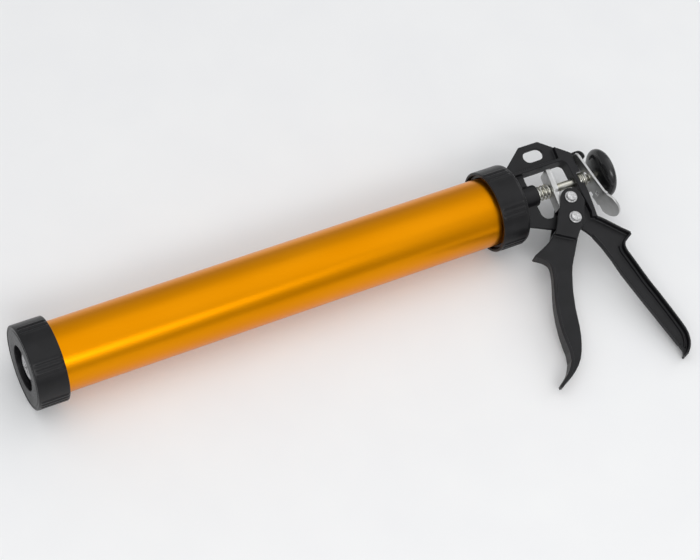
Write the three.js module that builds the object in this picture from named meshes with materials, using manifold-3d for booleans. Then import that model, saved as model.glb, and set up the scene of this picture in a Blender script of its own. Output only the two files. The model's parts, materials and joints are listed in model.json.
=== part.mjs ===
// Caulking gun with a 600 ml barrel for foil packs. Millimetres, +Z up.
//
// Every piece is drawn in the gun's own frame: +X runs along the barrel from the nozzle to the
// knob, +Y points up away from the handle, and Z is across the gun. The gun lies on its side on
// the two caps and the tip of the handle, so the outer group rolls that frame about the barrel.

import * as THREE from 'three';
import { mergeVertices } from 'three/addons/utils/BufferGeometryUtils.js';
import Module from 'manifold-3d';

const wasm = await Module();
wasm.setup();

// ---------------------------------------------------------------- driving dimensions
const GAP = 0.3;                    // clearance between pieces that touch
const BARREL_R = 25;
const BARREL_BORE_R = 23.4;
const CAP_R = 29.9;
const CAP_LENGTH = 22;
const CAP_WALL = 4;
const CAP_EDGE = 1.0;               // chamfer on the outer corners of the caps
const CAP_BORE_R = BARREL_R + GAP;
const NOZZLE_HOLE_R = 16.1;
const RIB_GROUPS = 6;
const RIBS_PER_GROUP = 3;
const RIB_STEP = THREE.MathUtils.degToRad(7);
const FRONT_RIB_PHASE = THREE.MathUtils.degToRad(-26);
const REAR_RIB_PHASE = THREE.MathUtils.degToRad(-30);
const RIB_HEIGHT = 0.6;
const RIB_WIDTH = 1.9;
const RIB_ROOT = 3;                 // a rib's whole depth, most of it inside the cap

const REAR_CAP_X = 353;
const LIP_R = 24.3;                 // opening at the back of the rear cap
const LIP_THICKNESS = 3.3;
const REAR_CAP_END = REAR_CAP_X + CAP_LENGTH;
const END_PLATE_T = 3;
const END_PLATE_X = REAR_CAP_END - LIP_THICKNESS - GAP - END_PLATE_T;
const END_PLATE_R = 26.6;
const SPIGOT_R = 8;
const FRAME_START = END_PLATE_X + END_PLATE_T + GAP;

const ROD_R = 3;
const ROD_HOLE_R = 3.4;
const ROD_START = 20.6;
const ROD_END = 452.5;
const ROD_TAPPING = 14;             // depth of the threaded hole in the front of the rod
const SCREW_R = 1.9;
const SCREW_HOLE_R = SCREW_R + GAP;
const PISTON_FACE = CAP_WALL + 2 * GAP;

const KNOB_START = 446.2;
const KNOB_END = 456;
const KNOB_R = 18.5;
const KNOB_SHOULDER = 6.2;          // length of the dome, up to the widest place
const KNOB_NECK_R = 7.6;
const KNOB_WALL = 1.2;              // in front of the threaded insert
const KNOB_INSERT_R = 6;

const WEB = 3;                      // thickness of the thin wall of the frame
const FRAME_W = 11;                 // width of the frame over its flanges
const FLANGE = 1.5;                 // thickness of the rim along the back of the handle
const BOSS_R = 8;
const BOSS_END = 396;
const EYE_R = 8.5;                  // round eye that the trigger turns about
const HOOK_T = 1.8;
const WALL_FRONT = 428.3;           // front face of the upright rear wall
const SPRING_SEAT = 431.3;
const HANDLE_TIP_Y = -152;

const PIVOT = [412.7, -28.5];
const PUSHER = [417.0, -12.9];
const EAR_IN = 5.8;
const EAR_OUT = 8.3;
const TRIGGER_REACH = 9;            // half width that the trigger is cut down from
const RIVET_R = 3.2;
const RIVET_HEAD_R = 4.7;
const RIVET_HEAD_T = 1.9;
const ROLLER_R = 5;

const DRIVE_PLATE_T = 4.2;
const DRIVE_PLATE_X = 408.3;        // front face where it meets the rod
const DRIVE_PLATE_TILT = THREE.MathUtils.degToRad(-5.5);
const LEVER_T = 2;
const LEVER_X = 439.6;              // front face where it meets the rod
const LEVER_TILT = THREE.MathUtils.degToRad(9.3);
const LEVER_TOP = 18.8;
const LEVER_HALF = 9;
const LEVER_BEND_Y = -17;
const THUMB_TILT = THREE.MathUtils.degToRad(23);
const THUMB_LENGTH = 18.5;
const THUMB_HALF = 11;
const THUMB_OFFSET = -1.5;          // the tab is wider on the far side

const ROUND = 64;

// ---------------------------------------------------------------- materials
const paint = (color, roughness, metalness) => (
  new THREE.MeshStandardMaterial({ color, roughness, metalness }));
const ORANGE_ALUMINIUM = () => paint(0xd98a08, 0.35, 0.8);
const BLACK_NYLON = () => paint(0x29282b, 0.5, 0);
const BLACK_PAINT = () => paint(0x2b2a2e, 0.45, 0.1);
const ZINC = () => paint(0xb9bab6, 0.35, 0.9);
const BRIGHT_STEEL = () => paint(0xcfd0cf, 0.3, 1);
const GLOSS_BLACK = () => paint(0x1b1b1d, 0.2, 0);
const GREY_NYLON = () => paint(0x4a4b4d, 0.6, 0);
const BRASS = () => paint(0xb08d4a, 0.35, 0.9);

// ---------------------------------------------------------------- solids
function triangleVolume(p, a, b, c) {
  const at = (i) => new THREE.Vector3().fromArray(p, 3 * i);
  return at(a).dot(at(b).cross(at(c))) / 6;
}

// A closed three.js geometry as a manifold solid, with its faces turned outwards.
function solid(geometry) {
  geometry.deleteAttribute('normal');
  geometry.deleteAttribute('uv');
  const merged = mergeVertices(geometry, 1e-4);
  const positions = merged.attributes.position.array;
  const index = merged.index.array;
  const triangles = [];
  let volume = 0;
  for (let i = 0; i < index.length; i += 3) {
    const [a, b, c] = [index[i], index[i + 1], index[i + 2]];
    if (a !== b && b !== c && c !== a) {
      triangles.push([a, b, c]);
      volume += triangleVolume(positions, a, b, c);
    }
  }
  if (volume < 0) {
    triangles.forEach((t) => t.reverse());
  }
  return new wasm.Manifold(new wasm.Mesh({
    numProp: 3,
    vertProperties: new Float32Array(positions),
    triVerts: new Uint32Array(triangles.flat()),
  }));
}

function union(...parts) {
  return parts.reduce((all, part) => all.add(part));
}

function cut(body, ...tools) {
  return tools.reduce((rest, tool) => rest.subtract(tool), body);
}

// An outline in the XY plane, extruded across the gun between two Z heights.
function slab(outline, z0, z1, holes = []) {
  return solid(slabGeometry(outline, z1 - z0, holes).translate(0, 0, z0));
}

// An outline drawn as (z, y) pairs, extruded along the barrel between two X places.
function crossSlab(outline, x0, x1, holes = []) {
  const geometry = slabGeometry(outline, x1 - x0, holes);
  geometry.rotateY(Math.PI / 2);
  geometry.scale(1, 1, -1);
  return solid(geometry.translate(x0, 0, 0));
}

function slabGeometry(outline, depth, holes = []) {
  const shape = new THREE.Shape(outline.map(([x, y]) => new THREE.Vector2(x, y)));
  shape.holes = holes.map((hole) => new THREE.Path(hole.map(([x, y]) => new THREE.Vector2(x, y))));
  return new THREE.ExtrudeGeometry(shape, { depth, bevelEnabled: false });
}

// A body of revolution about the barrel axis from (x, radius) pairs.
function turned(profile, segments = ROUND) {
  const points = [...profile, profile[0]].map(([x, r]) => new THREE.Vector2(r, x));
  return solid(new THREE.LatheGeometry(points, segments).rotateZ(-Math.PI / 2));
}

function ring(x0, x1, inner, outer, segments = ROUND) {
  return turned([[x0, inner], [x0, outer], [x1, outer], [x1, inner]], segments);
}

function rodAlongX(x0, x1, r, segments = 32) {
  return turned([[x0, 0], [x0, r], [x1, r], [x1, 0]], segments);
}

function pinAcross([x, y], z0, z1, r, segments = 32) {
  const geometry = new THREE.CylinderGeometry(r, r, z1 - z0, segments).rotateX(Math.PI / 2);
  return solid(geometry.translate(x, y, (z0 + z1) / 2));
}

function block(x0, x1, y0, y1, z0, z1) {
  const geometry = new THREE.BoxGeometry(x1 - x0, y1 - y0, z1 - z0);
  return solid(geometry.translate((x0 + x1) / 2, (y0 + y1) / 2, (z0 + z1) / 2));
}

function hexNut(x0, x1, inner, outer) {
  return crossSlab(arc([0, 0], outer, 0, 300, 5), x0, x1, [arc([0, 0], inner, 0, 350, 35)]);
}

// ---------------------------------------------------------------- outlines
// A smooth curve through a few points, as a list of [x, y].
function smooth(points, steps) {
  const curve = new THREE.SplineCurve(points.map(([x, y]) => new THREE.Vector2(x, y)));
  return curve.getPoints(steps).map((p) => [p.x, p.y]);
}

// Part of an oval about a centre, angles in degrees from +X.
function oval([x, y], rx, ry, from, to, steps) {
  return Array.from({ length: steps + 1 }, (_, i) => {
    const a = THREE.MathUtils.degToRad(from + ((to - from) * i) / steps);
    return [x + rx * Math.cos(a), y + ry * Math.sin(a)];
  });
}

function arc(centre, r, from, to, steps) {
  return oval(centre, r, r, from, to, steps);
}

// The same line moved sideways to its right by a distance, with mitred corners.
function beside(line, distance) {
  return line.map(([x, y], i) => {
    const before = line[Math.max(i - 1, 0)];
    const after = line[Math.min(i + 1, line.length - 1)];
    const into = new THREE.Vector2(x - before[0], y - before[1]).normalize();
    const out = new THREE.Vector2(after[0] - x, after[1] - y).normalize();
    const along = into.clone().add(out).normalize();
    const mitre = Math.max(along.dot(into.length() > 0 ? into : out), 0.5);
    return [x + (along.y * distance) / mitre, y - (along.x * distance) / mitre];
  });
}

// A band of constant thickness along a line, on its right-hand side.
function band(line, near, far) {
  return [...beside(line, near), ...beside(line, far).reverse()];
}

// ---------------------------------------------------------------- the barrel and its caps
function ribs(x0, x1, phase) {
  const bars = [];
  const middle = (RIBS_PER_GROUP - 1) / 2;
  for (let group = 0; group < RIB_GROUPS; group += 1) {
    for (let rib = 0; rib < RIBS_PER_GROUP; rib += 1) {
      const turn = phase + (group * 2 * Math.PI) / RIB_GROUPS + (rib - middle) * RIB_STEP;
      const geometry = new THREE.BoxGeometry(x1 - x0, RIB_WIDTH, RIB_ROOT);
      geometry.translate((x0 + x1) / 2, 0, CAP_R + RIB_HEIGHT - RIB_ROOT / 2);
      bars.push(solid(geometry.rotateX(-turn)));
    }
  }
  return bars;
}

function frontCap() {
  const body = turned([
    [0, NOZZLE_HOLE_R], [0, CAP_R - CAP_EDGE], [CAP_EDGE, CAP_R], [CAP_LENGTH, CAP_R],
    [CAP_LENGTH, CAP_BORE_R], [CAP_WALL, CAP_BORE_R], [CAP_WALL, NOZZLE_HOLE_R],
  ]);
  return union(body, ...ribs(2 * CAP_EDGE, CAP_LENGTH - CAP_EDGE, FRONT_RIB_PHASE));
}

function rearCap() {
  const body = turned([
    [REAR_CAP_X, CAP_BORE_R + 2], [REAR_CAP_X, CAP_R], [REAR_CAP_END - 2.5, CAP_R],
    [REAR_CAP_END - 0.8, CAP_R - 0.8], [REAR_CAP_END, CAP_R - 2.5], [REAR_CAP_END, LIP_R],
    [REAR_CAP_END - LIP_THICKNESS, LIP_R], [REAR_CAP_END - LIP_THICKNESS, END_PLATE_R + 2 * GAP],
    [END_PLATE_X - GAP, END_PLATE_R + 2 * GAP], [END_PLATE_X - GAP, CAP_BORE_R],
    [REAR_CAP_X + 2.5, CAP_BORE_R],
  ]);
  return union(body, ...ribs(REAR_CAP_X + CAP_EDGE, REAR_CAP_END - 3, REAR_RIB_PHASE));
}

function barrel() {
  return ring(CAP_WALL + GAP, END_PLATE_X - GAP, BARREL_BORE_R, BARREL_R);
}

function endPlate() {
  return ring(END_PLATE_X, END_PLATE_X + END_PLATE_T, SPIGOT_R + GAP, END_PLATE_R);
}

function endPlateNut() {
  return hexNut(END_PLATE_X - GAP - 3.5, END_PLATE_X - GAP, SPIGOT_R + GAP, 13);
}

// ---------------------------------------------------------------- the frame with its handle
// Back edge of the handle, from the foot of the rear wall over the horn to the tip.
const HANDLE_BACK = [
  ...smooth([[430.6, -31.8], [434, -34.8], [443.2, -45.4], [449, -51.6]], 8),
  ...smooth([[448.6, -53.9], [441.6, -57.8], [439.9, -62.7], [441, -70], [444.4, -91]], 12),
  ...smooth([[447, -102.5], [452.4, -131], [452.1, -140.5], [449.4, -147], [444.6, HANDLE_TIP_Y]], 14),
];

// Front edge of the handle, from its tip up to the round eye of the pivot.
const HANDLE_FRONT = [
  ...smooth([[442.6, -150.6], [444.1, -147.4], [442.8, -141], [438.8, -123], [433.7, -100.6]], 10),
  ...smooth([[428.9, -78], [427.1, -64.7], [424.7, -53], [422, -44.4], [418.6, -38.4]], 8),
];

// Back of the upright wall, from its top down to the foot.
const WALL_BACK = [[435.4, 20], [434.7, 0], [433.4, -14]];

const FRAME_OUTLINE = [
  [FRAME_START, -17.7], [FRAME_START, 16.4], [400.4, 38.6], [416.7, 38.6], [435.4, 22.8],
  ...WALL_BACK,
  ...HANDLE_BACK,
  ...HANDLE_FRONT,
  ...arc(PIVOT, EYE_R, -60, -110, 6),
  [397.1, -29.8],
];

const WINDOW = [
  ...arc([424.3, 13.2], 4, 0, 90, 5),
  [393.6, 17.2],
  [393, 12],
  ...arc([398, -15.9], 5, 180, 270, 5),
  [WALL_FRONT, -20.9],
];

function hangSlot() {
  return [...arc([412, 29.3], 4.7, -90, 90, 10), ...arc([405.2, 29.3], 4.7, 90, 270, 10)];
}

// The hook that the top of the release lever turns under.
function leverHook() {
  const line = [[433, 21.2], [439.5, 21.6], ...arc([441.2, 17], 4.6, 80, -25, 8)];
  return slab(band(line, 0, HOOK_T), -3.2, 3.2);
}

function frame() {
  const half = FRAME_W / 2;
  const wide = (outline, w = half) => slab(outline, -w, w);
  const web = slab(FRAME_OUTLINE, -WEB / 2, WEB / 2, [WINDOW, hangSlot()]);
  const windowSill = wide([[376, 17.2], [376, 19.7], [425, 19.7], [425, 17.2]]);
  const corner = wide([[424, 17.2], [425, 29.4], [435.3, 20.8], [435.2, 12], [WALL_FRONT, 12],
    ...arc([424.3, 13.2], 4, 0, 90, 5)]);
  const rearWall = wide([[WALL_FRONT, -27], [WALL_FRONT, 14], ...WALL_BACK, [430.9, -32.4], [427, -31]]);
  const backFlange = wide(band(HANDLE_BACK, 0, FLANGE));
  const rib = wide(band(HANDLE_BACK.slice(-24, -3), 3.3, 4.3), 3.6);
  const eye = pinAcross(PIVOT, -half, half, EYE_R);
  const boss = rodAlongX(FRAME_START, BOSS_END, BOSS_R, 40);
  const collar = rodAlongX(FRAME_START, REAR_CAP_END, 14, 40);
  const spigot = rodAlongX(END_PLATE_X - GAP - 4, FRAME_START + 1, SPIGOT_R, 40);
  const handle = union(backFlange, rib, eye);
  const rear = union(boss, collar, spigot);
  const body = union(web, windowSill, corner, rearWall, handle, rear, leverHook());
  const rodHole = rodAlongX(300, 450, ROD_HOLE_R, 24);
  const springSeat = rodAlongX(SPRING_SEAT, 450, 7, 32);
  const seatKeep = block(430, 450, -8, 8, -20, 20);
  return cut(body, rodHole, springSeat.intersect(seatKeep), pinAcross(PIVOT, -20, 20, RIVET_R + GAP));
}

// ---------------------------------------------------------------- the trigger and its rivets
// Upper edge of the finger hook, out to its tip.
const TRIGGER_BROW = smooth([[391.5, -35.5], [386, -39], [379, -42], [371.8, -44.7]], 6);

// Front of the trigger, from the tip of the hook down to the curled end.
const TRIGGER_PAD = [
  ...smooth([[372.3, -46], [377.5, -50], [380, -55], [377.5, -64.5], [369, -84.5], [364, -103],
    [362, -120]], 20),
  ...smooth([[360, -126.5], [354.5, -133.5], [345, -140]], 7),
];

// Back of the wide finger pad: a full tip on the hook, then an even wall.
const PAD_BACK = [
  ...smooth([[375.5, -43.8], [380.8, -47.5], [382.4, -54]], 5),
  ...beside(TRIGGER_PAD.slice(8), -2.4),
];

const TRIGGER_BACK = [
  ...smooth([[344.5, -142.3], [357, -136.5], [368.5, -127], [377, -111], [382.6, -91.5]], 12),
  ...smooth([[387, -79], [394.5, -63], [402.5, -51.5], [409, -42.5]], 8),
];

const EAR_OUTLINE = [
  [392.5, -35.2], [396, -30.5], [406.3, -16.2],
  ...arc([417.6, -13.6], 8.2, 155, 0, 10),
  [426, -18.5], [420, -29], [411.6, -39], [406.6, -44.2],
];

// A symmetric (z, y) outline from the half widths at a few heights.
function acrossOutline(halves) {
  const near = halves.map(([y, half]) => [half, y]);
  return [...near, ...near.map(([half, y]) => [-half, y]).reverse()];
}

// Half widths of the pad and of the body behind it, from the ears down to the curled end.
const PAD_HALVES = [[-30, 3.3], [-66, 3.3], [-80, 3.9], [-100, 4.6], [-116, 5.6], [-128, 5.6], [-144, 3]];
const BODY_HALVES = [[-30, 5], [-44, 5], [-62, 2.6], [-150, 2.6]];

function trigger() {
  const outline = [...TRIGGER_BROW, ...TRIGGER_PAD, ...TRIGGER_BACK, [407.4, -42.8], [392.5, -34]];
  const padOutline = [TRIGGER_BROW.at(-1), ...TRIGGER_PAD, ...[...PAD_BACK].reverse()];
  const shaped = (side, halves) => (
    slab(side, -TRIGGER_REACH, TRIGGER_REACH).intersect(crossSlab(acrossOutline(halves), 320, 430)));
  const head = slab(EAR_OUTLINE, -EAR_OUT, EAR_OUT);
  const slot = cut(block(380, 440, -60, 20, -EAR_IN, EAR_IN), belowEye());
  const holes = [PIVOT, PUSHER].map((at) => pinAcross(at, -20, 20, RIVET_R + GAP));
  const body = union(shaped(outline, BODY_HALVES), shaped(padOutline, PAD_HALVES), cut(head, slot));
  return cut(body, pinAcross(PIVOT, -EAR_IN, EAR_IN, EYE_R + 1.6), ...holes);
}

// The part of the trigger head that stays full width, below the round eye of the frame.
function belowEye() {
  return slab([[380, -32.4], [397, -32.4], [409, -39.4], [411, -46], [404, -62], [380, -62]], -30, 30);
}

function rivet(at) {
  const reach = EAR_OUT + GAP;
  const shank = pinAcross(at, -reach - 0.2, reach + 0.2, RIVET_R);
  const profile = [[0, 0], [RIVET_HEAD_R, 0], [RIVET_HEAD_R, 0.5], [RIVET_HEAD_R - 0.8, 1.3],
    [RIVET_HEAD_R - 2.2, RIVET_HEAD_T], [0, RIVET_HEAD_T]];
  const heads = [1, -1].map((side) => {
    const points = [...profile, profile[0]].map(([r, h]) => new THREE.Vector2(r, h));
    const geometry = new THREE.LatheGeometry(points, 32).rotateX((side * Math.PI) / 2);
    return solid(geometry.translate(at[0], at[1], side * reach));
  });
  return union(shank, ...heads);
}

function pusherRoller() {
  const body = pinAcross(PUSHER, -EAR_IN + GAP, EAR_IN - GAP, ROLLER_R);
  return cut(body, pinAcross(PUSHER, -20, 20, RIVET_R + GAP));
}

// ---------------------------------------------------------------- drive plate, lever and springs
// Leans a piece drawn upright at the barrel axis, and moves it along the barrel.
function leaning(outline, holes, thickness, tilt, x) {
  const geometry = slabGeometry(outline, thickness, holes);
  geometry.rotateY(Math.PI / 2).scale(1, 1, -1);
  return solid(geometry.rotateZ(tilt).translate(x, 0, 0));
}

function drivePlate() {
  const outline = [[5.2, -16.4], [5.2, -4.4], [6.6, -2.6], [6.6, 13.6], [5.6, 14.6],
    [-5.6, 14.6], [-6.6, 13.6], [-6.6, -2.6], [-5.2, -4.4], [-5.2, -16.4]];
  const hole = arc([0, 0], ROD_HOLE_R + 0.3, 0, 345, 23);
  return leaning(outline, [hole], DRIVE_PLATE_T, DRIVE_PLATE_TILT, DRIVE_PLATE_X);
}

function releaseLever() {
  const foot = LEVER_BEND_Y - 1;
  const notch = [[-LEVER_HALF, -8.6], [-6, -8.6], [-6, -12], [-LEVER_HALF, -12]];
  const outline = [[LEVER_HALF, foot], [LEVER_HALF, LEVER_TOP - 1], [LEVER_HALF - 1, LEVER_TOP],
    [1 - LEVER_HALF, LEVER_TOP], [-LEVER_HALF, LEVER_TOP - 1], ...notch, [-LEVER_HALF, foot]];
  const rodHole = arc([0, 0.4], ROD_HOLE_R + 0.9, 0, 345, 23);
  const slot = [[-2.5, -15.6], [-2.5, -12.4], [1.5, -12.4], [1.5, -15.6]];
  const plate = leaning(outline, [rodHole, slot], LEVER_T, LEVER_TILT, LEVER_X);
  return union(plate, thumbTab());
}

// The wide round tab below the bend, leaning further back than the plate above it.
function thumbTab() {
  const bend = new THREE.Vector2(0, LEVER_BEND_Y).rotateAround(new THREE.Vector2(), LEVER_TILT);
  const near = THUMB_OFFSET + THUMB_HALF;
  const far = THUMB_OFFSET - THUMB_HALF;
  const tip = arc([THUMB_OFFSET, THUMB_HALF - THUMB_LENGTH], THUMB_HALF, 180, 360, 16);
  const outline = [...tip, [near, -2.5], [LEVER_HALF, 0.4], [-LEVER_HALF, 0.4], [far, -2.5]];
  const geometry = slabGeometry(outline, LEVER_T).rotateY(Math.PI / 2).scale(1, 1, -1);
  geometry.rotateZ(THUMB_TILT);
  return solid(geometry.translate(LEVER_X + bend.x, bend.y, 0));
}

class Helix extends THREE.Curve {
  constructor(x0, x1, radius, turns) {
    super();
    Object.assign(this, { x0, x1, radius, turns });
  }

  getPoint(t, target = new THREE.Vector3()) {
    const a = 2 * Math.PI * this.turns * t;
    const x = this.x0 + (this.x1 - this.x0) * t;
    return target.set(x, this.radius * Math.cos(a), this.radius * Math.sin(a));
  }
}

function spring(x0, x1, radius, wire, turns) {
  const section = new THREE.Shape(arc([0, 0], wire / 2, 0, 300, 5).map(([x, y]) => new THREE.Vector2(x, y)));
  const path = new Helix(x0 + wire / 2, x1 - wire / 2, radius, turns);
  return solid(new THREE.ExtrudeGeometry(section, { steps: Math.round(16 * turns), extrudePath: path }));
}

// ---------------------------------------------------------------- thrust rod, knob and piston
function thrustRod() {
  const shaft = turned([[ROD_START, 0], [ROD_START, ROD_R - 0.5], [ROD_START + 0.5, ROD_R],
    [ROD_END - 1, ROD_R], [ROD_END, ROD_R - 1], [ROD_END, 0]], 32);
  return cut(shaft, rodAlongX(ROD_START - 1, ROD_START + ROD_TAPPING, SCREW_HOLE_R, 24));
}

function knob() {
  const widest = KNOB_START + KNOB_SHOULDER;
  const back = KNOB_END - widest;
  const profile = [[KNOB_START, 0],
    ...oval([widest, KNOB_NECK_R], KNOB_SHOULDER, KNOB_R - KNOB_NECK_R, 180, 90, 10),
    ...oval([widest, KNOB_R - back], back, back, 80, 0, 6), [KNOB_END, 0]];
  const rodHole = rodAlongX(KNOB_START - 1, KNOB_START + KNOB_WALL + 1, ROD_R + GAP, 32);
  const bore = rodAlongX(KNOB_START + KNOB_WALL, ROD_END + 0.6, KNOB_INSERT_R + GAP, 32);
  return cut(turned(profile), rodHole, bore);
}

function knobInsert() {
  return ring(KNOB_START + KNOB_WALL + GAP, ROD_END + 0.2, ROD_R + GAP, KNOB_INSERT_R, 32);
}

function pistonDisc() {
  return turned([[PISTON_FACE, SCREW_HOLE_R], [PISTON_FACE, 22], [PISTON_FACE + 1, 23],
    [PISTON_FACE + 10, 23], [PISTON_FACE + 10, 21], [PISTON_FACE + 5, 19], [PISTON_FACE + 5, SCREW_HOLE_R]]);
}

function pistonPlate() {
  return ring(PISTON_FACE + 5 + GAP, PISTON_FACE + 7 + GAP, SCREW_HOLE_R, 17.5);
}

function pistonNut() {
  return hexNut(PISTON_FACE + 7 + 2 * GAP, ROD_START - GAP, SCREW_HOLE_R, 6.4);
}

function pistonScrew() {
  const head = turned([[PISTON_FACE - 2.3, 0], [PISTON_FACE - 2.3, 7.6], [PISTON_FACE - 1.6, 9.2],
    [PISTON_FACE - 0.9, 9.7], [PISTON_FACE - GAP, 9.7], [PISTON_FACE - GAP, 0]], 48);
  return union(head, rodAlongX(PISTON_FACE - 1, ROD_START + ROD_TAPPING - 2, SCREW_R, 24));
}

// ---------------------------------------------------------------- assembly
function mesh(name, body, material) {
  const { vertProperties, triVerts } = body.getMesh();
  const geometry = new THREE.BufferGeometry();
  geometry.setAttribute('position', new THREE.BufferAttribute(new Float32Array(vertProperties), 3));
  geometry.setIndex(new THREE.BufferAttribute(new Uint32Array(triVerts), 1));
  geometry.computeVertexNormals();
  const piece = new THREE.Mesh(geometry, material);
  piece.name = name;
  return piece;
}

const gun = new THREE.Group();
gun.add(
  mesh('front_cap', frontCap(), BLACK_NYLON()),
  mesh('barrel', barrel(), ORANGE_ALUMINIUM()),
  mesh('rear_cap', rearCap(), BLACK_NYLON()),
  mesh('end_plate', endPlate(), ZINC()),
  mesh('end_plate_nut', endPlateNut(), ZINC()),
  mesh('frame', frame(), BLACK_PAINT()),
  mesh('trigger', trigger(), BLACK_PAINT()),
  mesh('pivot_rivet', rivet(PIVOT), BRIGHT_STEEL()),
  mesh('pusher_rivet', rivet(PUSHER), BRIGHT_STEEL()),
  mesh('pusher_roller', pusherRoller(), BRIGHT_STEEL()),
  mesh('drive_plate', drivePlate(), ZINC()),
  mesh('return_spring', spring(BOSS_END + GAP, DRIVE_PLATE_X - 0.9, 5, 1.2, 4), ZINC()),
  mesh('release_lever', releaseLever(), ZINC()),
  mesh('release_spring', spring(SPRING_SEAT + GAP, LEVER_X - 1.2, 4.9, 1.1, 4), ZINC()),
  mesh('thrust_rod', thrustRod(), ZINC()),
  mesh('knob', knob(), GLOSS_BLACK()),
  mesh('knob_insert', knobInsert(), BRASS()),
  mesh('piston_disc', pistonDisc(), GREY_NYLON()),
  mesh('piston_plate', pistonPlate(), ZINC()),
  mesh('piston_nut', pistonNut(), ZINC()),
  mesh('piston_screw', pistonScrew(), BRIGHT_STEEL()),
);

// Rolls the gun until the tip of the handle is as low as the underside of the caps.
const tipReach = Math.hypot(HANDLE_TIP_Y, FRAME_W / 2);
const ROLL = Math.asin(CAP_R / tipReach) - Math.atan2(FRAME_W / 2, -HANDLE_TIP_Y);

const lyingDown = new THREE.Group();
lyingDown.rotation.x = ROLL;
lyingDown.add(gun);

// The origin is under the middle of the whole gun, on the surface it lies on.
const assembly = new THREE.Group();
assembly.add(lyingDown);
assembly.updateMatrixWorld(true);
const extent = new THREE.Box3().setFromObject(assembly, true);
lyingDown.position.set(
  -(extent.min.x + extent.max.x) / 2,
  -(extent.min.y + extent.max.y) / 2,
  -extent.min.z,
);

export default assembly;
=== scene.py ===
"""The looks of a caulking gun with a closed barrel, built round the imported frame.

Shapes are drawn in millimetres in the gun's own frame, as the CAD pieces are: X runs along the
barrel from the nozzle end, Y points up away from the handle and Z is across the gun. GUN turns
that frame into the row frame, in metres.
"""

import json
import math

import bmesh
import bpy
from mathutils import Matrix, Vector


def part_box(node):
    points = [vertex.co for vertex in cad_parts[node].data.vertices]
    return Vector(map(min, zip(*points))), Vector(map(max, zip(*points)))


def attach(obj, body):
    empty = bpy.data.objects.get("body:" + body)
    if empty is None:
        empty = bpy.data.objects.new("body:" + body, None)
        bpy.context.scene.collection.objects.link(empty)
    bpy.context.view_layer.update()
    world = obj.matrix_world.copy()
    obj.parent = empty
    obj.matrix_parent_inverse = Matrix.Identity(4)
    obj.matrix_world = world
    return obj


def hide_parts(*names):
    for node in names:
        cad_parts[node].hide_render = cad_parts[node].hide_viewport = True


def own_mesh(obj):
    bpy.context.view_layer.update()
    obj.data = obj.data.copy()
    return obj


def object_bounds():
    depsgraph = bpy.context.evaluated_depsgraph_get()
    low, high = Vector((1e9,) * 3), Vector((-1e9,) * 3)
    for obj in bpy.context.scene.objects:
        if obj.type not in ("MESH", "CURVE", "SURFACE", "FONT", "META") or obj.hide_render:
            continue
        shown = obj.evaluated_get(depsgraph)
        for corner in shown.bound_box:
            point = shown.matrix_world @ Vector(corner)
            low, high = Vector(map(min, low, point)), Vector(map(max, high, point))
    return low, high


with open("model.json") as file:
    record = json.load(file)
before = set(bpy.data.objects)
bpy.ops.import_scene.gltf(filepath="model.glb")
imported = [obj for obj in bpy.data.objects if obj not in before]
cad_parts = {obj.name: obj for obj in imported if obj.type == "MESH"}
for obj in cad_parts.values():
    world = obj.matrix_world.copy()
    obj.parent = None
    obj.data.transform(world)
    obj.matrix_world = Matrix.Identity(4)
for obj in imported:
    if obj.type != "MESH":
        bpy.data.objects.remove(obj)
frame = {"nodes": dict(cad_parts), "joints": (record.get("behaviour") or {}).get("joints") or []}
cad_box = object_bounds()

# ---------------------------------------------------------------- the gun's frame
MM = 0.001
JOINTS = {joint["name"]: joint for joint in frame["joints"]}
ALONG = Vector(JOINTS["barrel_turn"]["axis"])
ACROSS = Vector(JOINTS["trigger_pull"]["axis"]).normalized()
UP = ACROSS.cross(ALONG)
AXIS = Vector(JOINTS["barrel_turn"]["pos_m"])
ORIGIN = Vector((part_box("front_cap")[0].x, AXIS.y, AXIS.z))
GUN = Matrix.Translation(ORIGIN) @ Matrix((ALONG, UP, ACROSS)).transposed().to_4x4() @ Matrix.Scale(MM, 4)
TO_GUN = GUN.inverted()


def span(node):
    """Where a node starts and ends along the barrel, in the gun's millimetres."""
    low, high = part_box(node)
    return (low.x - ORIGIN.x) / MM, (high.x - ORIGIN.x) / MM


PIVOT = (TO_GUN @ Vector(JOINTS["trigger_pull"]["pos_m"])).xy

# ---------------------------------------------------------------- driving dimensions, mm
TINY = 1e-3
PLAY = 0.3                           # between a pin or a bush and its hole
BARREL_R, BORE_R, BARREL_CHAMFER, BORE_CHAMFER = 25.0, 23.4, 0.4, 0.3
FRONT_THREAD, REAR_THREAD = 15, 14   # threaded lengths at the ends of the barrel
PLAIN_MARGIN = 60                    # each end's distance to the sparse rings of the plain tube
CAP_R, CAP_BORE_R, CAP_WALL, NOZZLE_R = 29.9, 25.3, 4.0, 16.1
GROOVE_IN, GROOVE_OUT, GROOVE_DEPTH = 26.4, 28.5, 0.35     # ring in the face of the front cap
RIB_GROUPS, RIBS, RIB_STEP = 6, 3, math.radians(7)
FRONT_RIB_PHASE, REAR_RIB_PHASE = math.radians(-26), math.radians(-30)
RIB_HEIGHT, RIB_HALF, RIB_FADE = 0.6, math.radians(2.1), 0.8
MOUTH_R, MOUTH_DEPTH = 27.5, 2.9
LIP_R, LIP_T = 24.3, 3.3
PLATE_R, PLATE_PLAY = 26.6, 0.6
SPIGOT_R, SPIGOT_NUT_R = 8.3, 13
THREAD_PITCH, THREAD_DEPTH, CAP_THREAD_DEPTH, SCREW_THREAD_DEPTH = 2.0, 0.55, 0.5, 0.3
ROD_R, ROD_TAPPING = 3.0, 14
SCREW_R, SCREW_HOLE_R, SCREW_HEAD_R, SCREW_HEAD_T = 1.9, 2.2, 9.7, 2
RECESS_SIZE, RECESS_TURN = (3.2, 9.0, 1.7), 0.4            # block that cuts each slot of the cross
PISTON_R, PISTON_RIM_R, PISTON_HUB_R, PISTON_WEB = 23, 21, 19, 5
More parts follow.
